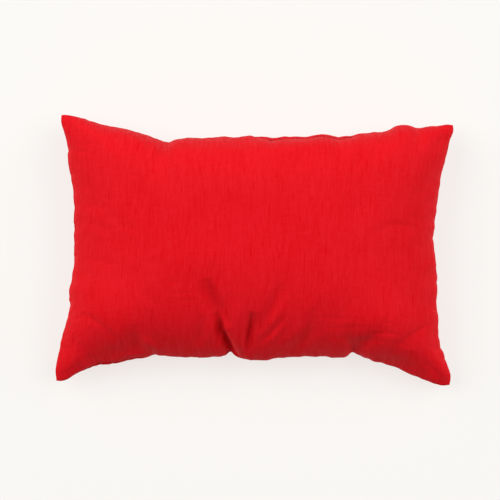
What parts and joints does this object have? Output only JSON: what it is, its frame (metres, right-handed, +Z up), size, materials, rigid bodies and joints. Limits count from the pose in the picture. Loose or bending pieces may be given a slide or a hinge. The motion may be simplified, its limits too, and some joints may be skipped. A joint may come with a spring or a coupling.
{
  "type": "lumbar pillow",
  "caption": "Oblong filled lumbar pillow in plain slubbed red silk, seamed all round, with soft pointed corners and a few pinched folds along its seam.",
  "frame": {"origin": "On the floor under the middle of the pillow's bounding box, with the pillow lying on its back.", "axes": "+X runs along the pillow's long side to the right as seen from above, +Y across it towards its top side, +Z up out of its front face."},
  "size_m": [0.5972, 0.408, 0.1443],
  "materials": {
    "slubbed_silk": "soft silk sheen"
  },
  "bodies": {
    "root": {"filled_cover": "slubbed_silk"}
  },
  "joints": []
}
